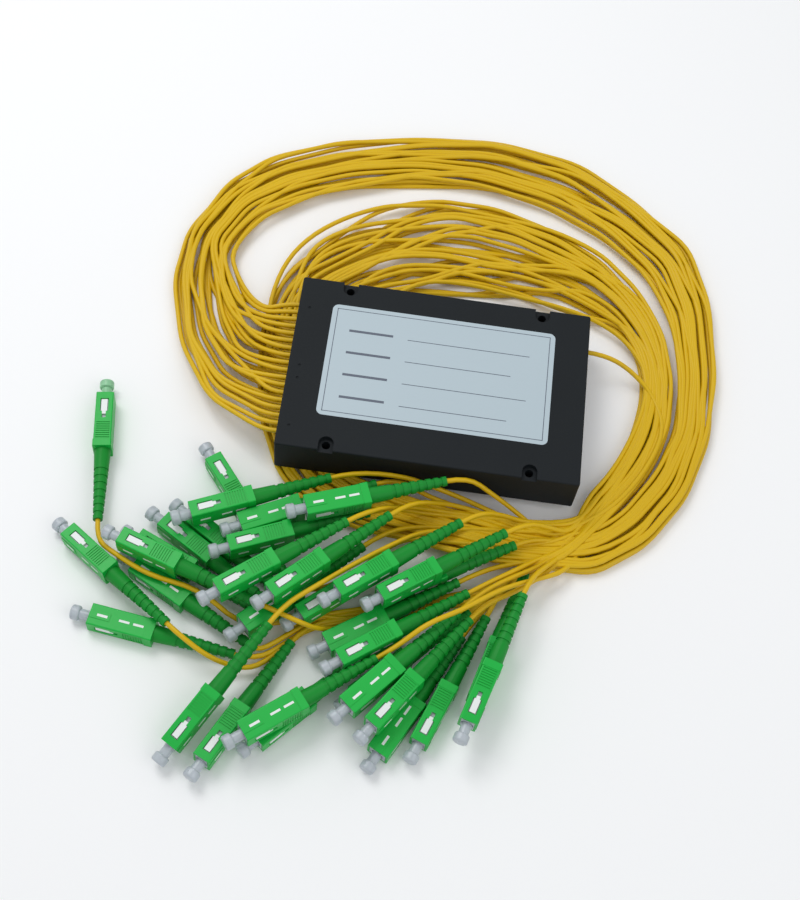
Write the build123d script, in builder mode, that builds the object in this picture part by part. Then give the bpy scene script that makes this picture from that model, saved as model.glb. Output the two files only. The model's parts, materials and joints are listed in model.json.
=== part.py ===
"""Boxed fibre splitter, one input and 32 outputs, with its coiled cables and SC/APC connectors.

The origin is the middle of the case. X runs along the case's 120 mm side, Y along its 80 mm
side and Z up. The case lies on the coil of its own cables, so the surface under everything is
one coil thickness below the case.
"""

import os
from math import acos, tan

from build123d import *

os.makedirs("parts", exist_ok=True)

# Case
case_length = 120.0
case_width = 80.0
case_height = 18.0
case_wall = 2.0
case_corner = 1.0
top_edge_radius = 0.6
cover_thickness = 1.5
fit = 0.1

# Mounting slots on the long edges
mount_spacing_x = 80.0
mount_edge_distance = 3.3
mount_hole = 3.4
mount_recess_width = 6.0
mount_recess_depth = 2.0
mount_boss_wall = 1.2

# Cover screws in the corners
screw_shank = 2.2
screw_head = 4.4
screw_head_height = 1.1
screw_length = 7.0
screw_boss = 5.2

# Label
label_length = 92.0
label_width = 52.7
label_corner = 2.5
label_thickness = 0.2
label_shift = 2.15

# Cables
cable = 2.0
row_pitch = 3.57
upper_row = 18
lower_row = 14
row_height = 2.0
comb_flange = 1.2
comb_margin = 1.0
comb_lip = 1.0
lead_length = 10.0
input_y = 28.0
gland_diameter = 5.0

# Splitter module inside the case
module_length = 60.0
module_width = 12.0
module_height = 4.0
module_wall = 0.6
chip_length = 26.0
block_length = 10.0
chip_width = 6.0
block_width = 9.0
chip_height = 2.0
ribbon_pitch = 2.4
ribbon_width = 2.0
ribbon_thickness = 0.3
bare_fibre = 0.9

# Coil of the cables
coil_height = 5.0
coil_upper_layer = 2.4
coil_shoulder = 3.5

# Connector, along its own X from the front of the grip to the end of the boot
grip_length = 25.0
grip_width = 9.0
grip_height = 7.4
grip_waist = 0.2
grip_flare = 3.0
grip_wall = 0.9
grip_rib = 0.5
grip_rib_depth = 0.3
grip_ribs = 8
window_length = 6.0
window_height = 3.2
key_width = 3.0
key_length = 8.0
frame_length = 17.0
frame_bore = 4.7
ferrule = 2.5
ferrule_tip = 0.5
ferrule_end = 12.0
ferrule_flange = 4.2
ferrule_flange_length = 2.0
ferrule_flange_x = 7.5
spring_outside = 4.2
spring_inside = 3.0
backbone_end = 30.0
backbone_barrel = 4.4
crimp_outside = 5.0
crimp_end = 33.0
boot_length = 31.0
boot_front = 6.6
boot_tip = 3.8
boot_grooves = 7
boot_groove_depth = 0.35
boot_groove_width = 1.3

# Dust cap
cap_head = 5.8
cap_head_length = 3.5
cap_neck = 4.0
cap_out = 7.5
cap_in = 6.0
cap_edge = 0.8

floor_z = -case_height / 2 - coil_height
cover_top = -case_height / 2 + cover_thickness
ceiling = case_height / 2 - case_wall
boot_end = grip_length + boot_length
grip_bore_width = grip_width - 2 * grip_waist - 2 * grip_wall
grip_bore_height = grip_height - 2 * grip_waist - 2 * grip_wall

# Where each output connector lies: the middle of its front edge, its height above the surface,
# its heading and its tilt, and whether a window or the keyed side looks up. Then the route of
# its cable from the end of the boot, as points with their height above the surface.
outputs = [
    ((-132.6, -81.4, 4.7), -36.8, 6.8, "window",
     [(-81.5, -119.8, 11.9), (-71, -124.2, 7.4), (-61, -125.6, 4.4), (-53.0, -124.2, 3.2)]),
    ((-117.5, -113.3, 3.8), -7.4, 0.1, "key", [(-53.5, -121.6, 4.0)]),
    ((-111.0, -84.6, 13.9), -19.0, 1.6, "window",
     [(-49.6, -105.7, 15.7), (-40.2, -108.5, 15.1), (-33.1, -108.1, 9.0), (-26.5, -104.2, 1.8)]),
    ((-105.1, -90.5, 4.2), -28.2, 0.7, "key", [(-53.0, -118.5, 4.9)]),
    ((-98.1, -71.5, 5.3), -30.7, -1.6, "window", [(-46.0, -102.5, 3.6)]),
    ((-84.1, -41.2, 4.6), -51.3, 0.0, "window", [(-45.0, -90.0, 4.6)]),
    ((-87.2, -70.8, 14.6), 25.0, 0.0, "window",
     [(-28.0, -43.2, 14.6), (-8.0, -42.0, 15.0), (8.0, -43.0, 9.0), (18.0, -43.5, 4.6)]),
    ((-68.1, -71.7, 12.4), 28.0, -1.0, "key", [(-10.2, -41.4, 10.9), (2.0, -44.5, 4.6)]),
    ((-43.9, -64.9, 21.0), 21.4, -1.0, "key",
     [(16.7, -41.5, 19.5), (27.0, -43.5, 13.0), (37.0, -45.0, 4.6)]),
    ((-70.6, -82.2, 13.9), 24.6, -1.0, "window", [(-11.9, -55.3, 12.8), (4.0, -52.0, 4.6)]),
    ((-70.9, -104.0, 22.4), 39.1, 0.0, "window",
     [(-20.0, -62.6, 22.4), (-6.0, -54.0, 13.0), (8.0, -50.0, 4.6)]),
    ((-51.7, -101.4, 20.0), 44.2, 0.0, "window",
     [(-4.6, -55.6, 20.0), (8.0, -49.0, 10.0), (18.0, -47.0, 4.6)]),
    ((-89.7, -67.0, 5.3), -32.2, -1.7, "window", [(-38.0, -99.5, 3.5)]),
    ((-60.1, -111.6, 10.4), 44.5, -0.2, "key", [(-13.5, -65.9, 10.2), (-2.0, -58.0, 4.6)]),
    ((-40.1, -104.0, 9.4), 40.9, 1.2, "window", [(9.0, -61.5, 10.8), (19.0, -56.0, 4.6)]),
    ((-27.3, -96.8, 19.2), 39.8, -0.2, "window",
     [(22.1, -55.7, 19.0), (32.0, -51.0, 11.0), (42.0, -50.0, 4.6)]),
    ((-11.3, -95.2, 16.6), 37.0, 0.0, "window",
     [(41.2, -55.6, 16.6), (52.0, -53.0, 9.0), (60.0, -52.0, 4.6)]),
    ((-78.4, -158.8, 5.9), 59.1, 12.0, "window",
     [(-46.0, -104.7, 19.3), (-37.0, -97.0, 20.0), (-25.0, -86.5, 19.5), (-12.0, -75.5, 18.0),
      (1.6, -63.3, 12.0), (14.0, -58.0, 4.6)]),
    ((-66.6, -162.7, 5.3), 63.7, -1.6, "window", [(-39.0, -106.6, 3.6)]),
    ((-53.3, -153.1, 13.3), 38.7, 0.0, "key",
     [(-2.7, -112.6, 13.3), (7.4, -104.0, 19.5), (20.0, -96.0, 17.5), (34.1, -84.1, 15.1),
      (60.0, -68.3, 4.6)]),
    ((-23.0, -120.6, 12.1), 37.2, -0.2, "window",
     [(28.6, -81.4, 11.9), (39.3, -73.4, 10.1), (48.6, -64.6, 4.6)]),
    ((-17.9, -138.2, 13.3), 49.4, 0.0, "key",
     [(25.3, -87.8, 13.3), (35.3, -79.2, 12.6), (51.5, -66.7, 4.6)]),
    ((-8.2, -143.7, 12.6), 55.7, 0.0, "window",
     [(28.2, -90.3, 12.6), (38.8, -83.4, 10.2), (55.2, -67.4, 4.6)]),
    ((-4.6, -150.9, 3.8), 62.1, 0.0, "key", [(25.3, -94.4, 3.8), (32.6, -83.6, 1.8)]),
    ((9.7, -145.3, 4.6), 68.8, 2.0, "window", [(33.2, -84.6, 6.9), (39.4, -69.6, 4.2)]),
    ((26.0, -138.6, 14.0), 73.0, 0.0, "window", [(45.0, -76.5, 14.0), (56.0, -63.8, 4.6)]),
    ((-28.5, -112.6, 5.7), 34.2, 3.0, "key", [(24.6, -76.5, 9.1), (34.6, -69.6, 4.6)]),
    ((-16.0, -130.9, 4.8), 45.3, -0.6, "window", [(30.4, -84.0, 4.1), (36.0, -77.6, 1.8)]),
    ((-9.8, -90.7, 7.1), 30.8, 1.0, "window", [(44.8, -58.2, 8.2), (54.0, -56.5, 4.6)]),
    ((-106.0, -80.0, 4.8), -23.6, -0.6, "window", [(-47.0, -105.8, 4.1)]),
    ((-48.8, -152.3, 5.4), 47.8, -0.8, "key", [(-5.7, -104.8, 4.5), (2.0, -95.0, 1.8)]),
    ((29.0, -126.0, 4.7), 75.0, 0.2, "window", [(44.4, -68.6, 4.6)]),
]
input_plug = (
    (-131.6, -19.6, 4.6), -81.0, 2.0, "window",
    [(-121.5, -83.0, 6.8), (-114.1, -89.0, 10.6), (-98.0, -96.5, 9.9), (-79.0, -98.8, 10.2),
     (-62.0, -108.0, 1.8)],
)

# Plan of the coil on the surface: its outside, its two gaps, the loose bunches of cable that
# run from it under the connectors, and the fan of cables that drops out of the case.
coil_outside = [
    (-66, -33), (-88, -15), (-101, 0), (-111, 19), (-118, 43), (-117, 71), (-104, 98),
    (-87, 117), (-57, 132), (-21, 141), (16, 145), (54, 139), (82, 122), (106, 98), (116, 67),
    (119, 31), (117, 1), (108, -28), (93, -53), (73, -69), (46, -70.3), (22, -70.3), (0, -66),
    (-16, -65.5), (-38, -60), (-55, -49),
]
coil_crescent = [
    (-87, 45), (-94, 54), (-94, 64), (-84, 81), (-65, 96), (-44, 107), (-22, 113), (-4, 115),
    (-20, 106), (-39, 97), (-59, 82), (-71, 62), (-77, 46),
]
coil_middle = [
    (-38, 28), (-10, 38), (30, 44), (63, 53), (78, 49), (85, 41), (88, 26), (84, 11),
    (75, -10), (65, -25), (47, -31), (15, -34), (-15, -33), (-34, -20), (-42, 0),
]
low_bunch = [
    (-66, -112), (-54.3, -112), (-46, -110), (-23, -103.2), (-1, -97), (19, -90.2), (39, -84),
    (43, -80.5), (38, -70), (30, -70), (19, -82), (1, -89), (-21, -94.8), (-45, -102),
    (-62, -104),
]
raised_bunches = [
    [(-48.3, -107), (-48.3, -104), (-46.8, -101.2), (-43.5, -100.6), (-39.2, -98.2),
     (-34, -98.2), (-33, -101), (-36, -107)],
    [(-54.3, -126), (-51.9, -126), (-49.6, -121.8), (-49.6, -108), (-54.3, -108)],
    [(-46.5, -91.0), (-38, -92.0), (-27, -87), (-14, -76), (-6, -64), (-11, -64), (-18, -74),
     (-29, -83.5), (-38, -88), (-46.5, -88)],
]
fan_plan = [
    (-60, -33), (-74, -30), (-89, -17), (-102, 2), (-110, 20), (-112, 44), (-100, 50),
    (-92, 46), (-84, 42), (-74, 38), (-60, 33),
]
low_bunch_height = 2.1
raised_bunch_height = 4.5
fan_half_height = 4.0
fan_drop = 25.0
fan_reach = 58.0


def bend_radii(points):
    """The arc at each inner point of a route: 0.45 of its shorter run over tan(half the turn)."""
    points = [Vector(p) for p in points]
    radii = []
    for before, here, after in zip(points, points[1:], points[2:]):
        arriving = here - before
        leaving = after - here
        turn = acos(min(1.0, arriving.normalized().dot(leaving.normalized())))
        radii.append(0.45 * min(arriving.length, leaving.length) / tan(turn / 2))
    return radii


def cable_tube(points):
    """A tube of the cable's diameter along straight runs joined by tangent arcs."""
    points = [Vector(p) for p in points]
    start = Plane(origin=points[0], z_dir=points[1] - points[0])
    with BuildPart() as tube:
        with BuildLine():
            if len(points) == 2:
                Line(*points)
            else:
                FilletPolyline(*points, radius=bend_radii(points))
        with BuildSketch(start):
            Circle(cable / 2)
        sweep()
    return tube.part


def plug_place(front, heading, tilt, side_up):
    """The frame of a connector: X from its front to its boot, Z out of its keyed side."""
    x, y, height = front
    roll = 90 if side_up == "window" else 0
    turned = Rot(0, 0, heading) * Rot(0, -tilt, 0) * Rot(roll, 0, 0)
    return Pos(x, y, floor_z + height) * turned


def tail_points(plug):
    """The route of a connector's cable, which leaves the boot straight along its axis."""
    *pose, route = plug
    place = plug_place(*pose)
    end = (place * Pos(boot_end, 0, 0)).position
    ahead = (place * Pos(boot_end + 1, 0, 0)).position - end
    first, *rest = [Vector(x, y, floor_z + height) for x, y, height in route]
    straight = end + ahead * (first - end).dot(ahead)
    return [end, straight] + rest


output_places = [plug_place(*plug[:4]) for plug in outputs]
input_place = plug_place(*input_plug[:4])
all_places = output_places + [input_place]

# Case shell, moulded in one with its bosses
mount_points = [
    (sx * mount_spacing_x / 2, sy * (case_width / 2 - mount_edge_distance))
    for sx in (-1, 1)
    for sy in (-1, 1)
]
mount_boss_radius = mount_recess_width / 2 + mount_boss_wall
screw_x = case_length / 2 - case_wall - screw_boss / 2 + 0.3
screw_y = case_width / 2 - case_wall - screw_boss / 2 + 0.3
screw_points = [(sx * screw_x, sy * screw_y) for sx in (-1, 1) for sy in (-1, 1)]
row_width = (upper_row - 1) * row_pitch
comb_width = row_width + cable + 2 * comb_margin
comb_height = 2 * row_height + cable + 2 * comb_margin

with BuildPart() as case_shell:
    with BuildSketch(Plane.XY.offset(-case_height / 2)):
        RectangleRounded(case_length, case_width, case_corner)
    extrude(amount=case_height)
    fillet(faces().sort_by(Axis.Z)[-1].edges(), top_edge_radius)
    with BuildSketch(Plane.XY.offset(-case_height / 2)):
        Rectangle(case_length - 2 * case_wall, case_width - 2 * case_wall)
    extrude(amount=case_height - case_wall, mode=Mode.SUBTRACT)
    with BuildSketch(Plane.XY.offset(-case_height / 2)):
        with Locations(*mount_points):
            Circle(mount_boss_radius)
        Rectangle(case_length, case_width, mode=Mode.INTERSECT)
    extrude(amount=case_height - case_wall)
    with BuildSketch(Plane.XY.offset(cover_top)):
        with Locations(*screw_points):
            Circle(screw_boss / 2)
    extrude(amount=ceiling - cover_top)
    with BuildSketch(Plane.XY.offset(cover_top)):
        with Locations(*screw_points):
            Circle(screw_shank / 2)
    extrude(amount=screw_length, mode=Mode.SUBTRACT)
    with BuildSketch(Plane.XY.offset(-case_height / 2)):
        with Locations(*mount_points):
            Circle(mount_hole / 2)
    extrude(amount=case_height, mode=Mode.SUBTRACT)
    with BuildSketch(Plane.XY.offset(case_height / 2 - mount_recess_depth)):
        with Locations(*mount_points):
            Circle(mount_recess_width / 2)
        for x, y in mount_points:
            side = 1 if y > 0 else -1
            with Locations((x, y + side * mount_edge_distance / 2)):
                Rectangle(mount_recess_width, mount_edge_distance)
    extrude(amount=mount_recess_depth, mode=Mode.SUBTRACT)
    with BuildSketch(Plane.XY.offset(case_height / 2 - label_thickness)):
        with Locations((0, label_shift)):
            RectangleRounded(label_length, label_width, label_corner)
    extrude(amount=label_thickness, mode=Mode.SUBTRACT)
    with BuildSketch(Plane.YZ.offset(-case_length / 2)):
        Rectangle(comb_width, comb_height)
    extrude(amount=case_wall, mode=Mode.SUBTRACT)
    with BuildSketch(Plane.YZ.offset(case_length / 2 - case_wall)):
        with Locations((input_y, 0)):
            Circle(gland_diameter / 2)
    extrude(amount=case_wall, mode=Mode.SUBTRACT)
    with BuildSketch(Plane.XY.offset(case_height / 2 - 0.3)):
        with Locations((-55.5, 25), (-55.5, -3), (-55.5, -9), (-55.5, -31)):
            Circle(0.6)
    extrude(amount=0.3, mode=Mode.SUBTRACT)

# Cover plate with the two rests that carry the module
rest_length = 5.0
rest_x = module_length / 2 - rest_length

with BuildPart() as case_cover:
    with BuildSketch(Plane.XY.offset(-case_height / 2)):
        Rectangle(case_length - 2 * (case_wall + fit), case_width - 2 * (case_wall + fit))
        with Locations(*mount_points):
            Circle(mount_boss_radius + fit, mode=Mode.SUBTRACT)
    extrude(amount=cover_thickness)
    with BuildSketch(Plane.XY.offset(cover_top)):
        with Locations((-rest_x, 0), (rest_x, 0)):
            Rectangle(rest_length, module_width)
    extrude(amount=-module_height / 2 - cover_top)
    with Locations(Plane(origin=(0, 0, -case_height / 2), z_dir=(0, 0, -1))):
        with Locations(*screw_points):
            CounterSinkHole(screw_shank / 2 + fit, screw_head / 2 + fit, cover_thickness + 1)

with BuildPart() as cover_screws:
    with BuildSketch(Plane.XZ) as screw_profile:
        with BuildLine():
            Polyline(
                (0, 0),
                (screw_head / 2, 0),
                (screw_shank / 2, screw_head_height),
                (screw_shank / 2, cover_thickness + screw_length - 0.5),
                (0, cover_thickness + screw_length - 0.5),
                close=True,
            )
        make_face()
    revolve(axis=Axis.Z)
    with BuildSketch(Plane.XY):
        Rectangle(screw_head * 0.7, 0.5)
        Rectangle(0.5, screw_head * 0.7)
    extrude(amount=0.5, mode=Mode.SUBTRACT)
one_screw = cover_screws.part

with BuildPart() as cover_screws:
    with Locations(*[(x, y, -case_height / 2) for x, y in screw_points]):
        add(one_screw)

with BuildPart() as label:
    with BuildSketch(Plane.XY.offset(case_height / 2 - label_thickness)):
        with Locations((0, label_shift)):
            RectangleRounded(label_length, label_width, label_corner)
    extrude(amount=label_thickness)

# Output comb in the left wall and gland in the right wall
upper_exits = [((i - (upper_row - 1) / 2) * row_pitch, row_height) for i in range(upper_row)]
lower_exits = [((i - (lower_row - 1) / 2) * row_pitch, -row_height) for i in range(lower_row)]
exits = upper_exits + lower_exits

with BuildPart() as output_comb:
    with BuildSketch(Plane.YZ.offset(-case_length / 2)):
        Rectangle(comb_width - 2 * fit, comb_height - 2 * fit)
    extrude(amount=case_wall)
    with BuildSketch(Plane.YZ.offset(-case_length / 2 + case_wall)):
        Rectangle(comb_width + comb_lip, comb_height + comb_lip)
    extrude(amount=comb_flange)
    with BuildSketch(Plane.YZ.offset(-case_length / 2)):
        with Locations(*exits):
            Circle(cable / 2 + fit / 2)
    extrude(amount=case_wall + comb_flange, mode=Mode.SUBTRACT)

with BuildPart() as input_gland:
    with BuildSketch(Plane.YZ.offset(case_length / 2 - case_wall)):
        with Locations((input_y, 0)):
            Circle(gland_diameter / 2 - fit)
    extrude(amount=case_wall)
    with BuildSketch(Plane.YZ.offset(case_length / 2 - case_wall - comb_flange)):
        with Locations((input_y, 0)):
            Circle(gland_diameter / 2 + 1)
    extrude(amount=comb_flange)
    with BuildSketch(Plane.YZ.offset(case_length / 2 - case_wall - comb_flange)):
        with Locations((input_y, 0)):
            Circle(cable / 2 + fit / 2)
    extrude(amount=case_wall + comb_flange, mode=Mode.SUBTRACT)

with BuildPart() as output_leads:
    with BuildSketch(Plane.YZ.offset(-case_length / 2)):
        with Locations(*exits):
            Circle(cable / 2)
    extrude(amount=lead_length)

# Module: a steel tube round the chip and the two fibre blocks
with BuildPart() as module_tube:
    with BuildSketch(Plane.YZ.offset(-module_length / 2)):
        RectangleRounded(module_width, module_height, 0.8)
        Rectangle(
            module_width - 2 * module_wall, module_height - 2 * module_wall, mode=Mode.SUBTRACT
        )
    extrude(amount=module_length)

module_floor = -module_height / 2 + module_wall
chip_x = -1.0

with BuildPart() as plc_chip:
    with BuildSketch(Plane.XY.offset(module_floor)):
        with Locations((chip_x, 0)):
            Rectangle(chip_length, chip_width)
    extrude(amount=chip_height)

with BuildPart() as output_fibre_array:
    with BuildSketch(Plane.XY.offset(module_floor)):
        with Locations((chip_x - chip_length / 2 - block_length / 2, 0)):
            Rectangle(block_length, block_width)
    extrude(amount=chip_height)

with BuildPart() as input_fibre_array:
    with BuildSketch(Plane.XY.offset(module_floor)):
        with Locations((chip_x + chip_length / 2 + block_length / 2, 0)):
            Rectangle(block_length, chip_width)
    extrude(amount=chip_height)

# Ribbons: four of eight fibres, side by side in the module and spread out at the leads
array_left = chip_x - chip_length / 2 - block_length
array_right = chip_x + chip_length / 2 + block_length
leads_inside = -case_length / 2 + lead_length
fan_width = row_width / 4

with BuildPart() as fibre_ribbons:
    with BuildSketch(Plane.XY.offset(-ribbon_thickness / 2)):
        for i in (-1.5, -0.5, 0.5, 1.5):
            near, far = i * ribbon_pitch, i * fan_width
            with BuildLine():
                Polyline(
                    (array_left, near - ribbon_width / 2),
                    (-module_length / 2 - 2, near - ribbon_width / 2),
                    (leads_inside, far - fan_width * 0.46),
                    (leads_inside, far + fan_width * 0.46),
                    (-module_length / 2 - 2, near + ribbon_width / 2),
                    (array_left, near + ribbon_width / 2),
                    close=True,
                )
            make_face()
    extrude(amount=ribbon_thickness)

input_lead_start = case_length / 2 - lead_length

with BuildPart() as input_fibre:
    with BuildLine():
        FilletPolyline(
            (array_right, 0, 0),
            (array_right + 10, 0, 0),
            (input_lead_start - 8, input_y * 0.5, 0),
            (input_lead_start - 4, input_y, 0),
            (input_lead_start, input_y, 0),
            radius=2.5,
        )
    with BuildSketch(Plane(origin=(array_right, 0, 0), z_dir=(1, 0, 0))):
        Circle(bare_fibre / 2)
    sweep()

# Coil: the outer form of the cables that lie round and under the case
fan_floor = -case_height / 2
case_side = -case_length / 2

with BuildPart() as fan:
    with BuildSketch(Plane.XZ):
        with BuildLine():
            Polyline(
                (case_side, fan_half_height),
                (case_side, -fan_half_height),
                (case_side - fan_drop, floor_z),
                (case_side - fan_reach, floor_z),
                (case_side - fan_reach, floor_z + coil_height),
                (case_side - fan_drop * 1.6, floor_z + coil_height),
                close=True,
            )
        make_face()
    extrude(amount=case_width, both=True)
    with BuildSketch(Plane.XY.offset(floor_z)):
        with BuildLine():
            Polyline(*fan_plan, close=True)
        make_face()
    extrude(amount=case_height + coil_height, mode=Mode.INTERSECT)

with BuildPart() as fibre_coil:
    with BuildSketch(Plane.XY.offset(floor_z)):
        with BuildLine():
            FilletPolyline(*coil_outside, radius=8, close=True)
        make_face()
        for gap in (coil_crescent, coil_middle):
            with BuildLine():
                Polyline(*gap, close=True)
            make_face(mode=Mode.SUBTRACT)
    extrude(amount=coil_height)
    with BuildSketch(Plane.XY.offset(floor_z + coil_height)):
        with BuildLine():
            FilletPolyline(*coil_outside, radius=8, close=True)
        make_face()
        offset(amount=-coil_shoulder)
        for gap in (coil_crescent, coil_middle):
            with BuildSketch(mode=Mode.SUBTRACT):
                with BuildLine():
                    Polyline(*gap, close=True)
                make_face()
                offset(amount=coil_shoulder)
        Rectangle(case_length + 4, case_width + 4, mode=Mode.SUBTRACT)
        with Locations((0, -case_width)):
            Rectangle(3 * case_length, case_width + 4, mode=Mode.SUBTRACT)
    extrude(amount=coil_upper_layer)
    with BuildSketch(Plane.XY.offset(floor_z)):
        with BuildLine():
            Polyline(*low_bunch, close=True)
        make_face()
    extrude(amount=low_bunch_height)
    with BuildSketch(Plane.XY.offset(floor_z)):
        for bunch in raised_bunches:
            with BuildLine():
                Polyline(*bunch, close=True)
            make_face()
    extrude(amount=raised_bunch_height)
    add(fan.part)

# Cables between the coil and the connectors, and the input cable between its gland and the coil
tails = [cable_tube(tail_points(plug)) for plug in outputs]

with BuildPart() as output_tails:
    add(tails)

with BuildPart() as input_tail:
    add(cable_tube(tail_points(input_plug)))

with BuildPart() as input_lead:
    add(
        cable_tube(
            [
                (input_lead_start, input_y, 0),
                (case_length / 2 + 8, input_y, 0),
                (case_length / 2 + 20, input_y + 0.5, floor_z + 7.5),
                (case_length / 2 + 29, input_y + 1.5, floor_z + 3),
            ]
        )
    )

tail_radii = [r for plug in outputs + [input_plug] for r in bend_radii(tail_points(plug))]
print("tail bend radii from", round(min(tail_radii), 1), "to", round(max(tail_radii), 1), "mm")

# Connector pieces, made once about their own frame
with BuildPart() as grip_form:
    with BuildSketch(Plane.YZ):
        RectangleRounded(grip_width - 2 * grip_waist, grip_height - 2 * grip_waist, 0.5)
    extrude(amount=grip_length)
    with BuildSketch(Plane.YZ.offset(grip_length - grip_flare)):
        RectangleRounded(grip_width, grip_height, 0.5)
    extrude(amount=grip_flare)
    with BuildSketch(Plane.XY.offset(grip_height / 2 - grip_waist)):
        with Locations((key_length / 2, 0)):
            Rectangle(key_length, key_width)
    extrude(amount=grip_waist)
    for side in (-1, 1):
        face_y = side * (grip_width / 2 - grip_waist)
        with BuildSketch(Plane.XZ.offset(-face_y)):
            for i in range(grip_ribs):
                with Locations((grip_length - grip_flare - (2 * i + 1.5) * grip_rib, 0)):
                    Rectangle(grip_rib, grip_height - 2)
        extrude(amount=side * grip_rib_depth, mode=Mode.SUBTRACT)
    with BuildSketch(Plane.YZ):
        Rectangle(grip_bore_width, grip_bore_height)
    extrude(amount=grip_length, mode=Mode.SUBTRACT)
    with BuildSketch(Plane.XZ):
        with Locations((window_length, 0)):
            Rectangle(window_length, window_height)
        with Locations((window_length + 1.5, 0)):
            Rectangle(window_length + 3, window_height * 0.5)
    extrude(amount=grip_width, both=True, mode=Mode.SUBTRACT)

with BuildPart() as frame_form:
    with BuildSketch(Plane.YZ):
        Rectangle(grip_bore_width - fit, grip_bore_height - fit)
        Circle(frame_bore / 2, mode=Mode.SUBTRACT)
    extrude(amount=frame_length)

with BuildPart() as ferrule_form:
    with BuildSketch(Plane.YZ.offset(ferrule_tip)):
        Circle(ferrule / 2)
    extrude(amount=ferrule_end - ferrule_tip)
    with BuildSketch(Plane.YZ.offset(ferrule_flange_x)):
        Circle(ferrule_flange / 2)
    extrude(amount=ferrule_flange_length)

with BuildPart() as spring_form:
    with BuildSketch(Plane.YZ.offset(ferrule_flange_x + ferrule_flange_length)):
        Circle(spring_outside / 2)
        Circle(spring_inside / 2, mode=Mode.SUBTRACT)
    extrude(amount=frame_length - ferrule_flange_x - ferrule_flange_length)

with BuildPart() as backbone_form:
    with BuildSketch(Plane.YZ.offset(frame_length)):
        Rectangle(grip_bore_width - fit, grip_bore_height - fit)
    extrude(amount=grip_length - frame_length)
    with BuildSketch(Plane.YZ.offset(grip_length)):
        Circle(backbone_barrel / 2)
    extrude(amount=backbone_end - grip_length)
    with BuildSketch(Plane.YZ.offset(frame_length)):
        Circle(cable / 2 + fit)
    extrude(amount=backbone_end - frame_length, mode=Mode.SUBTRACT)

with BuildPart() as crimp_form:
    with BuildSketch(Plane.YZ.offset(grip_length + 1)):
        Circle(crimp_outside / 2)
        Circle(backbone_barrel / 2, mode=Mode.SUBTRACT)
    extrude(amount=backbone_end - grip_length - 1)
    with BuildSketch(Plane.YZ.offset(backbone_end)):
        Circle(crimp_outside / 2)
        Circle(cable / 2 + fit, mode=Mode.SUBTRACT)
    extrude(amount=crimp_end - backbone_end)


def boot_radius(x):
    """Outer radius of the boot, which tapers from the grip to its tip."""
    share = (x - grip_length) / boot_length
    return boot_front / 2 + (boot_tip - boot_front) / 2 * share


groove_pitch = (boot_end - crimp_end - 1) / boot_grooves
boot_outline = [(grip_length, boot_radius(grip_length))]
for i in range(boot_grooves):
    groove_start = crimp_end + 1 + i * groove_pitch
    groove_stop = groove_start + boot_groove_width
    boot_outline += [
        (groove_start, boot_radius(groove_start)),
        (groove_start, boot_radius(groove_start) - boot_groove_depth),
        (groove_stop, boot_radius(groove_stop) - boot_groove_depth),
        (groove_stop, boot_radius(groove_stop)),
    ]
boot_outline += [
    (boot_end, boot_tip / 2),
    (boot_end, cable / 2 + fit / 2),
    (crimp_end, cable / 2 + fit / 2),
    (crimp_end, crimp_outside / 2 + fit / 2),
    (grip_length, crimp_outside / 2 + fit / 2),
]

with BuildPart() as boot_form:
    with BuildSketch(Plane.XY):
        with BuildLine():
            Polyline(*boot_outline, close=True)
        make_face()
    revolve(axis=Axis.X)

with BuildPart() as cable_end_form:
    with BuildSketch(Plane.YZ.offset(ferrule_end + 8)):
        Circle(cable / 2)
    extrude(amount=boot_end - ferrule_end - 8)

with BuildPart() as cap_form:
    with BuildSketch(Plane.YZ.offset(-cap_out)):
        Circle(cap_head / 2)
    extrude(amount=cap_head_length)
    fillet(edges(), cap_edge)
    with BuildSketch(Plane.YZ.offset(-cap_out + cap_head_length)):
        Circle(cap_neck / 2)
    extrude(amount=cap_out - cap_head_length + cap_in)
    with BuildSketch(Plane.YZ.offset(-1.0)):
        Circle(ferrule / 2 + fit)
    extrude(amount=cap_in + 1.0, mode=Mode.SUBTRACT)


def group_of(form, places):
    """One node that holds a copy of the same piece at each place."""
    with BuildPart() as group:
        add([form.part.moved(place) for place in places])
    return group


output_grips = group_of(grip_form, output_places)
input_grip = group_of(grip_form, [input_place])
plug_frames = group_of(frame_form, all_places)
ferrules = group_of(ferrule_form, all_places)
springs = group_of(spring_form, all_places)
backbones = group_of(backbone_form, all_places)
crimp_sleeves = group_of(crimp_form, all_places)
boots = group_of(boot_form, all_places)
cable_ends = group_of(cable_end_form, all_places)

pieces = {
    "case_shell": case_shell,
    "case_cover": case_cover,
    "cover_screws": cover_screws,
    "label": label,
    "output_comb": output_comb,
    "input_gland": input_gland,
    "module_tube": module_tube,
    "plc_chip": plc_chip,
    "input_fibre_array": input_fibre_array,
    "output_fibre_array": output_fibre_array,
    "fibre_ribbons": fibre_ribbons,
    "input_fibre": input_fibre,
    "output_leads": output_leads,
    "fibre_coil": fibre_coil,
    "output_tails": output_tails,
    "input_lead": input_lead,
    "input_tail": input_tail,
    "cable_ends": cable_ends,
    "output_grips": output_grips,
    "input_grip": input_grip,
    "plug_frames": plug_frames,
    "ferrules": ferrules,
    "springs": springs,
    "backbones": backbones,
    "crimp_sleeves": crimp_sleeves,
    "boots": boots,
    "input_cap": group_of(cap_form, [input_place]),
}
for number, place in enumerate(output_places, start=1):
    pieces[f"output_cap_{number:02d}"] = group_of(cap_form, [place])

for name, piece in pieces.items():
    piece.part.label = name
    export_step(piece.part, f"parts/{name}.step")
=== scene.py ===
import json
import math
import random

import bpy
from mathutils import Matrix, Vector


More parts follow.
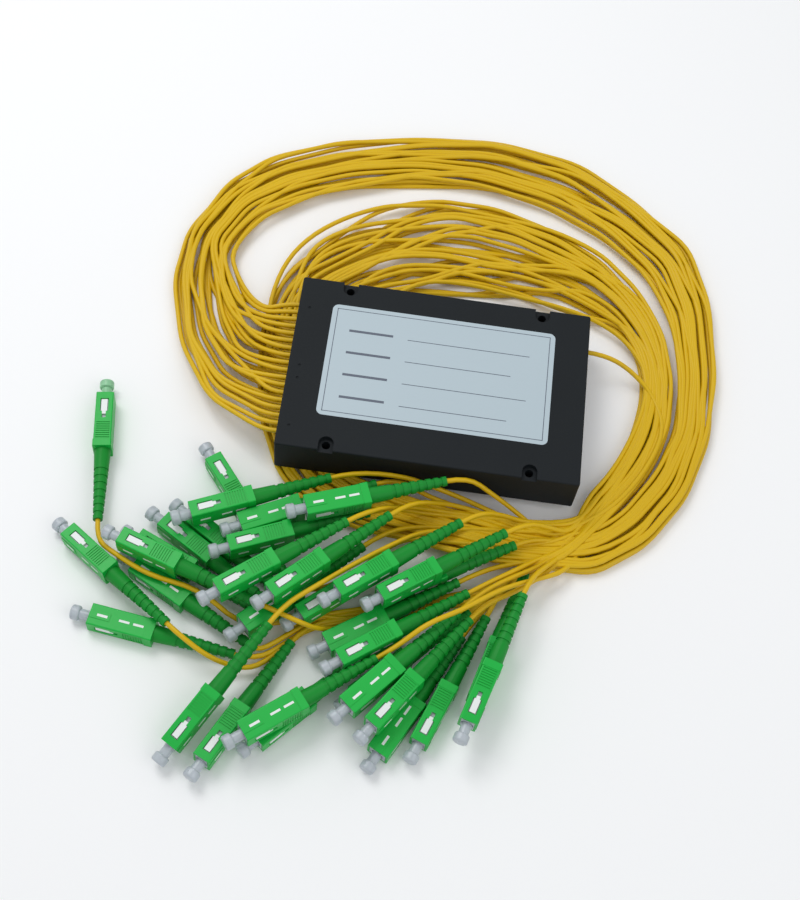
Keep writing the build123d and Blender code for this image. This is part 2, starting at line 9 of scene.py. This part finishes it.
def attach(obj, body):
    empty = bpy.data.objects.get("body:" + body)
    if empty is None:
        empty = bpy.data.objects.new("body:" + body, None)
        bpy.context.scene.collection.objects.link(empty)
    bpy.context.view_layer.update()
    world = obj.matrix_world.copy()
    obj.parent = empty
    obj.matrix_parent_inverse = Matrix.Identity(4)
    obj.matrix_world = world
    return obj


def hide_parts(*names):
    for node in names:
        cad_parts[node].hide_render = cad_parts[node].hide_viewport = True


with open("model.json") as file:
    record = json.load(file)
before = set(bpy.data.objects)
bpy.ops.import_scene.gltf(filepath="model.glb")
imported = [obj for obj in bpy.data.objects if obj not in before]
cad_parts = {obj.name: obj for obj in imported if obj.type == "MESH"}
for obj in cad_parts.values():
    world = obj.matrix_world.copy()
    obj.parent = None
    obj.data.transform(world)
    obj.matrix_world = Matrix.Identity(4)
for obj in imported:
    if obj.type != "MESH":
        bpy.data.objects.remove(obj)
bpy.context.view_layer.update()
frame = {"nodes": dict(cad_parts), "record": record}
nodes = frame["nodes"]
rng = random.Random(32)

# Sizes are in millimetres, and MM turns them into metres.
MM = 0.001
FLOOR = -14.0
CABLE = 2.0
BOOT_END = 56.0
# The exits of the comb, a pitch apart in an upper and a lower row, and the input's exit.
EXIT_X, EXIT_PITCH, EXIT_ROW, EXIT_SPAN = -60.0, 3.57, 2.0, 61.5
UPPER_EXITS, LOWER_EXITS = 18, 14
INPUT_EXIT = (60.0, 28.0, 0.0)
# The middle of the coil's lowest cables above the surface, and the height of each layer.
FIRST_LAYER, LAYER, SQUEEZED_LAYER = 1.05, 1.85, 1.45
# Where the tails end that each guide leads to, and how far before them the guide stops.
STRIP_END = (-45.0, -90.0)
TONGUE_BELOW, SHORT_BELOW = -90, -63
GUIDE_CLEAR = 10

# Each output connector: the middle of its front edge above the surface, heading, tilt and
# whether a window looks up, then the route of its cable from the end of the boot.
OUTPUTS = [
    ((-132.6, -81.4, 4.7), -36.8, 6.8, 1,
     [(-81.5, -119.8, 11.9), (-71, -124.2, 7.4), (-61, -125.6, 4.4), (-53.0, -124.2, 3.2)]),
    ((-117.5, -113.3, 3.8), -7.4, 0.1, 0, [(-53.5, -121.6, 4.0)]),
    ((-111.0, -84.6, 13.9), -19.0, 1.6, 1,
     [(-49.6, -105.7, 15.7), (-40.2, -108.5, 15.1), (-33.1, -108.1, 9.0), (-26.5, -104.2, 1.8)]),
    ((-105.1, -90.5, 4.2), -28.2, 0.7, 0, [(-53.0, -118.5, 4.9)]),
    ((-98.1, -71.5, 5.3), -30.7, -1.6, 1, [(-46.0, -102.5, 3.6)]),
    ((-84.1, -41.2, 4.6), -51.3, 0.0, 1, [(-45.0, -90.0, 4.6)]),
    ((-87.2, -70.8, 14.6), 25.0, 0.0, 1,
     [(-28.0, -43.2, 14.6), (-8.0, -42.0, 15.0), (8.0, -43.0, 9.0), (18.0, -43.5, 4.6)]),
    ((-68.1, -71.7, 12.4), 28.0, -1.0, 0, [(-10.2, -41.4, 10.9), (2.0, -44.5, 4.6)]),
    ((-43.9, -64.9, 21.0), 21.4, -1.0, 0,
     [(16.7, -41.5, 19.5), (27.0, -43.5, 13.0), (37.0, -45.0, 4.6)]),
    ((-70.6, -82.2, 13.9), 24.6, -1.0, 1, [(-11.9, -55.3, 12.8), (4.0, -52.0, 4.6)]),
    ((-70.9, -104.0, 22.4), 39.1, 0.0, 1,
     [(-20.0, -62.6, 22.4), (-6.0, -54.0, 13.0), (8.0, -50.0, 4.6)]),
    ((-51.7, -101.4, 20.0), 44.2, 0.0, 1,
     [(-4.6, -55.6, 20.0), (8.0, -49.0, 10.0), (18.0, -47.0, 4.6)]),
    ((-89.7, -67.0, 5.3), -32.2, -1.7, 1, [(-38.0, -99.5, 3.5)]),
    ((-60.1, -111.6, 10.4), 44.5, -0.2, 0, [(-13.5, -65.9, 10.2), (-2.0, -58.0, 4.6)]),
    ((-40.1, -104.0, 9.4), 40.9, 1.2, 1, [(9.0, -61.5, 10.8), (19.0, -56.0, 4.6)]),
    ((-27.3, -96.8, 19.2), 39.8, -0.2, 1,
     [(22.1, -55.7, 19.0), (32.0, -51.0, 11.0), (42.0, -50.0, 4.6)]),
    ((-11.3, -95.2, 16.6), 37.0, 0.0, 1,
     [(41.2, -55.6, 16.6), (52.0, -53.0, 9.0), (60.0, -52.0, 4.6)]),
    ((-78.4, -158.8, 5.9), 59.1, 12.0, 1,
     [(-46.0, -104.7, 19.3), (-37.0, -97.0, 20.0), (-25.0, -86.5, 19.5), (-12.0, -75.5, 18.0),
      (1.6, -63.3, 12.0), (14.0, -58.0, 4.6)]),
    ((-66.6, -162.7, 5.3), 63.7, -1.6, 1, [(-39.0, -106.6, 3.6)]),
    ((-53.3, -153.1, 13.3), 38.7, 0.0, 0,
     [(-2.7, -112.6, 13.3), (7.4, -104.0, 19.5), (20.0, -96.0, 17.5), (34.1, -84.1, 15.1),
      (60.0, -68.3, 4.6)]),
    ((-23.0, -120.6, 12.1), 37.2, -0.2, 1,
     [(28.6, -81.4, 11.9), (39.3, -73.4, 10.1), (48.6, -64.6, 4.6)]),
    ((-17.9, -138.2, 13.3), 49.4, 0.0, 0,
     [(25.3, -87.8, 13.3), (35.3, -79.2, 12.6), (51.5, -66.7, 4.6)]),
    ((-8.2, -143.7, 12.6), 55.7, 0.0, 1,
     [(28.2, -90.3, 12.6), (38.8, -83.4, 10.2), (55.2, -67.4, 4.6)]),
    ((-4.6, -150.9, 3.8), 62.1, 0.0, 0, [(25.3, -94.4, 3.8), (32.6, -83.6, 1.8)]),
    ((9.7, -145.3, 4.6), 68.8, 2.0, 1, [(33.2, -84.6, 6.9), (39.4, -69.6, 4.2)]),
    ((26.0, -138.6, 14.0), 73.0, 0.0, 1, [(45.0, -76.5, 14.0), (56.0, -63.8, 4.6)]),
    ((-28.5, -112.6, 5.7), 34.2, 3.0, 0, [(24.6, -76.5, 9.1), (34.6, -69.6, 4.6)]),
    ((-16.0, -130.9, 4.8), 45.3, -0.6, 1, [(30.4, -84.0, 4.1), (36.0, -77.6, 1.8)]),
    ((-9.8, -90.7, 7.1), 30.8, 1.0, 1, [(44.8, -58.2, 8.2), (54.0, -56.5, 4.6)]),
    ((-106.0, -80.0, 4.8), -23.6, -0.6, 1, [(-47.0, -105.8, 4.1)]),
    ((-48.8, -152.3, 5.4), 47.8, -0.8, 0, [(-5.7, -104.8, 4.5), (2.0, -95.0, 1.8)]),
    ((29.0, -126.0, 4.7), 75.0, 0.2, 1, [(44.4, -68.6, 4.6)]),
]
INPUT = ((-131.6, -19.6, 4.6), -81.0, 2.0, 1,
         [(-121.5, -83.0, 6.8), (-114.1, -89.0, 10.6), (-98.0, -96.5, 9.9), (-79.0, -98.8, 10.2),
          (-62.0, -108.0, 1.8)])

# The coil: at each station the plan points of its outermost and its innermost cable.
FIRST_TURN = [
    ((-90, -16), (-73, 31)), ((-107, 12), (-83, 39)), ((-116, 43), (-90, 50)),
    ((-115, 70), (-95, 61)), ((-102, 97), (-85, 81)), ((-85, 115), (-66, 96)),
    ((-56, 130), (-45, 106)), ((-20, 139), (-20, 113)), ((16, 143), (8, 116)),
    ((53, 137), (40, 110)), ((81, 120), (66, 97)), ((104, 97), (86, 79)),
    ((114, 67), (97, 58)), ((117, 31), (102, 30)), ((115, 1), (101, 3)),
    ((106, -28), (93, -20)), ((91, -51), (80, -41)), ((71, -67), (66, -52)),
    ((45, -68), (45, -55)), ((22, -68), (20, -50)), ((-1, -64), (-4, -46)),
    ((-21, -62), (-25, -40)), ((-41, -56), (-42, -30)), ((-57, -43), (-49, -12)),
]
SECOND_TURN = [
    ((-69, -17), (-47, 5)), ((-75, 10), (-47, 20)), ((-76, 34), (-43, 32)),
    ((-72, 56), (-34, 43)), ((-64, 73), (-20, 51)), ((-50, 87), (-4, 56)),
    ((-32, 97), (14, 58)), ((-10, 105), (32, 57)), ((16, 107), (48, 55)),
    ((42, 100), (63, 52)), ((65, 87), (76, 45)), ((83, 69), (84, 35)),
    ((94, 50), (87, 23)), ((99, 26), (86, 9)), ((98, 2), (81, -9)),
    ((91, -20), (74, -24)), ((78, -40), (66, -35)),
]
GUIDES = {
    "band": [(62, -49, 5.2), (50, -52, 5.2)],
    "tongue": [(60, -60, 5.4), (46, -70, 4.2), (36, -79, 2.4), (19, -85.5, 1.6), (0, -92, 1.6),
               (-22, -98.5, 1.6), (-34, -102.5, 1.8)],
    "short": [(62, -58, 5.4), (50, -67, 4.4)],
    "strip": [(60, -54, 5.6), (40, -60, 5.4), (18, -62, 5.2), (0, -62, 5.0), (-9, -66, 4.4),
              (-17, -75.5, 3.6), (-28, -85.5, 3.4), (-38, -90.2, 3.8)],
}


def lerp(a, b, t):
    return tuple(p + (q - p) * t for p, q in zip(a, b))


def place_of(plug):
    """Where a plug lies. Its own x runs from its front edge to its boot."""
    (x, y, h), heading, tilt, window = plug[:4]
    turn = Matrix.Rotation(math.radians(heading), 4, "Z")
    turn = turn @ Matrix.Rotation(math.radians(-tilt), 4, "Y")
    if window:
        turn = turn @ Matrix.Rotation(math.radians(90), 4, "X")
    return Matrix.Translation((x, y, FLOOR + h)) @ turn


def tail_of(plug):
    """The points of a tail from the end of the boot, the next one straight behind it."""
    place = place_of(plug)
    end = place @ Vector((BOOT_END, 0, 0))
    ahead = (place @ Vector((BOOT_END + 1, 0, 0))) - end
    first, *rest = [Vector((x, y, FLOOR + h)) for x, y, h in plug[4]]
    return [end, end + ahead * (first - end).dot(ahead)] + rest


# Materials
def shader(name, colour, rough, second=None, scale=400, bump=0.1, metallic=0.0,
           through=0.0, specular=0.5, stretch=(1, 1, 1)):
    """A plastic, metal or paper with broad changes of colour and a fine grain."""
    mat = bpy.data.materials.new(name)
    mat.use_nodes = True
    tree = mat.node_tree
    bsdf = tree.nodes["Principled BSDF"]
    coords = tree.nodes.new("ShaderNodeTexCoord")
    mapping = tree.nodes.new("ShaderNodeMapping")
    mapping.inputs["Scale"].default_value = stretch
    tree.links.new(coords.outputs["Object"], mapping.inputs["Vector"])
    broad = tree.nodes.new("ShaderNodeTexNoise")
    broad.inputs["Scale"].default_value = scale * 0.12
    broad.inputs["Detail"].default_value = 4
    fine = tree.nodes.new("ShaderNodeTexNoise")
    fine.inputs["Scale"].default_value = scale * 6
    fine.inputs["Detail"].default_value = 3
    for noise in (broad, fine):
        tree.links.new(mapping.outputs["Vector"], noise.inputs["Vector"])
    mix = tree.nodes.new("ShaderNodeMix")
    mix.data_type = "RGBA"
    mix.inputs["A"].default_value = (*colour, 1)
    mix.inputs["B"].default_value = (*(second or [c * 0.8 for c in colour]), 1)
    tree.links.new(broad.outputs["Fac"], mix.inputs["Factor"])
    tree.links.new(mix.outputs["Result"], bsdf.inputs["Base Color"])
    rough_map = tree.nodes.new("ShaderNodeMapRange")
    rough_map.inputs["To Min"].default_value = rough * 0.8
    rough_map.inputs["To Max"].default_value = min(1.0, rough * 1.2)
    tree.links.new(fine.outputs["Fac"], rough_map.inputs["Value"])
    tree.links.new(rough_map.outputs["Result"], bsdf.inputs["Roughness"])
    grain = tree.nodes.new("ShaderNodeBump")
    grain.inputs["Strength"].default_value = bump
    grain.inputs["Distance"].default_value = 0.00006
    tree.links.new(fine.outputs["Fac"], grain.inputs["Height"])
    tree.links.new(grain.outputs["Normal"], bsdf.inputs["Normal"])
    bsdf.inputs["Metallic"].default_value = metallic
    bsdf.inputs["Transmission Weight"].default_value = through
    bsdf.inputs["Specular IOR Level"].default_value = specular
    return mat


case_mat = shader("case plastic", (0.009, 0.012, 0.014), 0.6, (0.006, 0.008, 0.010), 300, 0.5,
                  specular=0.16)
label_mat = shader("label paper", (0.45, 0.54, 0.59), 0.42, (0.42, 0.51, 0.56), 60, 0.05)
print_mat = shader("label print", (0.10, 0.12, 0.16), 0.5, None, 90, 0.05)
cable_mat = shader("cable sheath", (0.72, 0.47, 0.003), 0.42, (0.62, 0.38, 0.002), 120, 0.12,
                   specular=0.3)
green_mat = shader("plug plastic", (0.004, 0.46, 0.055), 0.36, (0.003, 0.37, 0.04), 150, 0.12,
                   specular=0.3)
boot_mat = shader("boot rubber", (0.002, 0.27, 0.025), 0.5, (0.002, 0.20, 0.018), 150, 0.25,
                  specular=0.25)
cap_mat = shader("cap plastic", (0.62, 0.66, 0.72), 0.3, (0.54, 0.60, 0.64), 100, 0.08,
                 through=0.35)
green_cap_mat = shader("green cap plastic", (0.35, 0.72, 0.42), 0.3, (0.28, 0.62, 0.36), 100, 0.08,
                       through=0.3)
mark_mat = shader("white mark", (0.82, 0.85, 0.84), 0.5, (0.74, 0.78, 0.76), 200, 0.1)
steel_mat = shader("steel", (0.55, 0.55, 0.57), 0.3, (0.45, 0.45, 0.47), 300, 0.2, metallic=1.0,
                   stretch=(1, 30, 1))
ceramic_mat = shader("ceramic", (0.85, 0.85, 0.82), 0.15, (0.8, 0.8, 0.78), 200, 0.03)
glass_mat = shader("chip glass", (0.7, 0.78, 0.82), 0.08, (0.65, 0.72, 0.78), 100, 0.02,
                   through=0.8)
fibre_mat = shader("coated fibre", (0.75, 0.75, 0.78), 0.35, (0.65, 0.67, 0.72), 200, 0.05,
                   stretch=(1, 20, 1))
floor_mat = shader("floor", (0.95, 0.955, 0.96), 0.8, (0.94, 0.945, 0.955), 4, 0.03, specular=0.2)

BY_SLOT = {
    "case": case_mat, "label": label_mat, "cable": cable_mat, "green": green_mat,
    "green_boot": boot_mat, "clear": cap_mat, "clear_green": green_cap_mat, "steel": steel_mat,
    "ceramic": ceramic_mat, "glass": glass_mat, "fibre": fibre_mat, "crimp": steel_mat,
}
slot_of = {s["node"]: s["material_slot"] for s in frame["record"]["subparts"]}
for name, obj in nodes.items():
    obj.data.materials.clear()
    obj.data.materials.append(BY_SLOT[slot_of[name]])


# Cables
def cable_curve(name, points):
    data = bpy.data.curves.new(name, "CURVE")
    data.dimensions = "3D"
    data.bevel_depth = CABLE / 2 * MM
    data.bevel_resolution = 2
    data.resolution_u = 4
    spline = data.splines.new("NURBS")
    spline.points.add(len(points) - 1)
    for point, co in zip(spline.points, points):
        point.co = (co[0] * MM, co[1] * MM, co[2] * MM, 1)
    spline.order_u = 3
    spline.use_endpoint_u = True
    obj = bpy.data.objects.new(name, data)
    bpy.context.scene.collection.objects.link(obj)
    data.materials.append(cable_mat)
    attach(obj, "base")
    return obj


def turn_points(stations, across, layer, squeezed, phase):
    """One cable's course through the stations, at its place across the band and its layer.

    At the squeezed stations the cables lie under the box or the heap, in thinner layers.
    """
    points = []
    for i, (outer, inner) in enumerate(stations):
        sway = 0.085 * math.sin(phase + i * 0.9) + 0.05 * math.sin(2.3 * phase + i * 1.7)
        x, y = lerp(inner, outer, min(1, max(0, across + sway)))
        step = SQUEEZED_LAYER if i in squeezed else LAYER
        height = FIRST_LAYER + layer * step + 0.12 * math.sin(phase + i)
        points.append((x, y, FLOOR + height))
    return points


def spaced(points, longest=24):
    """The same route with a point in the middle of each long run."""
    out = [points[0]]
    for a, b in zip(points, points[1:]):
        if math.dist(a, b) > longest:
            out.append(lerp(a, b, 0.5))
        out.append(b)
    return out


def guide(kind, spread, lift):
    """The points that lead a cable from the coil towards its tail."""
    return [(x + spread * 0.45, y + spread, FLOOR + h + lift) for x, y, h in GUIDES[kind]]


def run_length(points):
    return sum(math.dist(a, b) for a, b in zip(points, points[1:]))


def kind_of(route):
    """The guide that leads to the end of a tail's route."""
    x, y, h = route[-1]
    if (x, y) == STRIP_END:
        return "strip"
    if y < TONGUE_BELOW:
        return "tongue"
    return "short" if y < SHORT_BELOW else "band"


def exit_row(count, height):
    """The exits of one row of the comb, as (y, z)."""
    return [((i - (count - 1) / 2) * EXIT_PITCH, height) for i in range(count)]


def tail_end_rank(k):
    """Connectors whose tails end nearest the front edge of the coil come first."""
    x, y, h = OUTPUTS[k][4][-1]
    return y - 0.15 * x


def output_route(plug, rank, exit_y, exit_z):
    """An output cable's route, from its exit round the coil to the end of its boot."""
    phase = rng.uniform(0, 6.28)
    across = 0.5 - exit_y / EXIT_SPAN
    layer = 0 if exit_z < 0 else 1 + rank % 2
    second = min(1.0, max(0.0, across + rng.uniform(-0.07, 0.07)))
    kind = kind_of(plug[4])
    first = turn_points(FIRST_TURN, across, layer, range(20, len(FIRST_TURN)), phase)
    # From the comb the cables come down to the surface, the inner ones later than the outer.
    x, y, _ = first[0]
    if across > 0.4:
        first[0] = (x, y, exit_z - 5.5)
    else:
        first[0] = (x, y, exit_z - 3.0)
        x, y, _ = first[1]
        first[1] = (x, y, -10.0 + layer)
    points = [(EXIT_X, exit_y, exit_z), (EXIT_X - 6.0, exit_y, exit_z - 0.6)] + first
    points += turn_points(SECOND_TURN, second, layer, range(5), phase + 1)
    tail = [tuple(p) for p in tail_of(plug)][::-1]
    spread = rng.uniform(-3.0, 3.0)
    way = guide(kind, spread, rng.uniform(-0.3, 0.9))
    if kind != "strip":
        way = [p for p in way if p[0] > tail[0][0] + GUIDE_CLEAR]
    return spaced(points + way + tail)


def input_route():
    """The input cable's route, from its exit round the coil to the end of its boot."""
    phase = 1.0
    points = [INPUT_EXIT, (68.0, 28.0, 0.0), (80.0, 27.0, -6.5), (90.5, 18.0, -9.4)]
    points += turn_points(SECOND_TURN[-3:], 0.8, 2.4, (), phase)
    points += turn_points(FIRST_TURN[-6:], 0.35, 2.2, range(6), phase)
    points += turn_points(SECOND_TURN, 0.55, 2.0, range(5), phase)
    points += guide("tongue", 1.0, 0.4)
    points += [tuple(p) for p in tail_of(INPUT)][::-1]
    return spaced(points)


# Each cord as its curve, its exit and length in metres, and its connector's name and plug.
cords = []


def add_cord(name, points, plug):
    curve = cable_curve(f"cable_{name}", points)
    exit_point = tuple(c * MM for c in points[0])
    cords.append((curve, exit_point, run_length(points) * MM, name, plug))


ranked = sorted(range(len(OUTPUTS)), key=tail_end_rank)
exits = sorted(exit_row(UPPER_EXITS, EXIT_ROW) + exit_row(LOWER_EXITS, -EXIT_ROW))
for rank, (k, (exit_y, exit_z)) in enumerate(zip(ranked, exits)):
    add_cord(f"{k + 1:02d}", output_route(OUTPUTS[k], rank, exit_y, exit_z), OUTPUTS[k])
add_cord("in", input_route(), INPUT)


# White core, window inserts and marks of each connector
def boxes_mesh(name, boxes, place):
    """One mesh of boxes, each given by its ranges in x, y and z."""
    verts, faces = [], []
    for (x0, x1), (y0, y1), (z0, z1) in boxes:
        start = len(verts)
        verts += [place @ Vector((x, y, z)) * MM for x in (x0, x1) for y in (y0, y1)
                  for z in (z0, z1)]
        for f in ((0, 1, 3, 2), (4, 6, 7, 5), (0, 4, 5, 1), (2, 3, 7, 6), (0, 2, 6, 4), (1, 5, 7, 3)):
            faces.append([start + i for i in f])
    mesh = bpy.data.meshes.new(name)
    mesh.from_pydata(verts, [], faces)
    obj = bpy.data.objects.new(name, mesh)
    bpy.context.scene.collection.objects.link(obj)
    return obj


TRIM = [
    ((3.4, 8.6), (-3.32, 3.32), (-1.35, 1.35)),
    ((3.4, 10.2), (3.3, 4.15), (-1.2, 1.2)),
    ((3.4, 10.2), (-4.15, -3.3), (-1.2, 1.2)),
    ((11.5, 15.5), (-0.45, 0.45), (3.45, 3.56)),
    ((17.0, 21.0), (-0.45, 0.45), (3.45, 3.56)),
    ((3.0, 7.0), (-0.5, 0.5), (3.65, 3.76)),
]
for curve, exit_point, length, name, plug in cords:
    trim = boxes_mesh(f"trim_{name}", TRIM, place_of(plug))
    trim.data.materials.append(mark_mat)
    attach(trim, "input_grip" if plug is INPUT else "base")
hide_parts("fibre_coil", "output_tails", "input_tail", "input_lead")

# Label print: a frame line, and rows with a field mark and a blank line
FLAT = (9.0, 9.03)
LEFT, RIGHT, LOW, HIGH = -44.0, 44.0, -22.4, 26.7
LINE = 0.3
FIELD, FIELD_HEIGHT = (-38.0, -20.0), 1.1
TOP_ROW, ROW_STEP = 16.0, 10.5
BLANK_LEFT, BLANK_RIGHT, SHORTER = -14.0, 36.0, 7
lines = [((LEFT, RIGHT), (LOW, LOW + LINE), FLAT), ((LEFT, RIGHT), (HIGH - LINE, HIGH), FLAT),
         ((LEFT, LEFT + LINE), (LOW, HIGH), FLAT), ((RIGHT - LINE, RIGHT), (LOW, HIGH), FLAT)]
for row in range(4):
    y = TOP_ROW - row * ROW_STEP
    lines.append((FIELD, (y, y + FIELD_HEIGHT), FLAT))
    lines.append(((BLANK_LEFT, BLANK_RIGHT - SHORTER * (row % 2)), (y - 0.4, y - 0.1), FLAT))
label_print = boxes_mesh("label_print", lines, Matrix.Identity(4))
label_print.data.materials.append(print_mat)
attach(label_print, "base")

# Floor
mesh = bpy.data.meshes.new("floor")
reach = 4.0
mesh.from_pydata([(-reach, -reach, 0), (reach, -reach, 0), (reach, reach, 0), (-reach, reach, 0)],
                 [], [(0, 1, 2, 3)])
floor = bpy.data.objects.new("floor", mesh)
floor.location.z = FLOOR * MM - 0.0001
bpy.context.scene.collection.objects.link(floor)
mesh.materials.append(floor_mat)

# Studio light
world = bpy.data.worlds.new("studio")
bpy.context.scene.world = world
world.use_nodes = True
sky = world.node_tree.nodes["Background"]
sky.inputs["Color"].default_value = (0.97, 0.985, 1.0, 1)
# The background is white where it is seen, mirrored or looked at through glass.
path = world.node_tree.nodes.new("ShaderNodeLightPath")
seen = path.outputs["Is Camera Ray"]
for ray in ("Is Glossy Ray", "Is Transmission Ray"):
    either = world.node_tree.nodes.new("ShaderNodeMath")
    either.operation = "MAXIMUM"
    world.node_tree.links.new(seen, either.inputs[0])
    world.node_tree.links.new(path.outputs[ray], either.inputs[1])
    seen = either.outputs[0]
level = world.node_tree.nodes.new("ShaderNodeMapRange")
level.inputs["To Min"].default_value = 0.62
world.node_tree.links.new(seen, level.inputs["Value"])
world.node_tree.links.new(level.outputs["Result"], sky.inputs["Strength"])


def area(name, where, size, power):
    light = bpy.data.lights.new(name, "AREA")
    light.size = size
    light.energy = power
    obj = bpy.data.objects.new(name, light)
    obj.location = where
    obj.rotation_euler = (-Vector(where)).to_track_quat("-Z", "Y").to_euler()
    bpy.context.scene.collection.objects.link(obj)


area("key", where=(-0.45, 0.35, 0.9), size=0.5, power=4.2)
area("fill", where=(0.7, -0.5, 0.8), size=0.9, power=2.2)

# Camera, in metres
AZIMUTH, ELEVATION, ROLL = math.radians(-1.01), math.radians(60.88), math.radians(8.76)
DISTANCE, AIM, FOCAL = 0.58148, Vector((-0.01107, -0.03025, 0)), 66.04
back = Vector((math.sin(AZIMUTH) * math.cos(ELEVATION), -math.cos(AZIMUTH) * math.cos(ELEVATION),
               math.sin(ELEVATION)))
camera_data = bpy.data.cameras.new("camera")
camera_data.sensor_fit = "HORIZONTAL"
camera_data.sensor_width = 36.0
camera_data.lens = FOCAL
camera_data.clip_start = 0.01
camera = bpy.data.objects.new("camera", camera_data)
turn = back.to_track_quat("Z", "Y").to_matrix().to_4x4() @ Matrix.Rotation(ROLL, 4, "Z")
camera.matrix_world = Matrix.Translation(AIM + back * DISTANCE) @ turn
bpy.context.scene.collection.objects.link(camera)
bpy.context.scene.camera = camera
bpy.context.scene.view_settings.view_transform = "Standard"
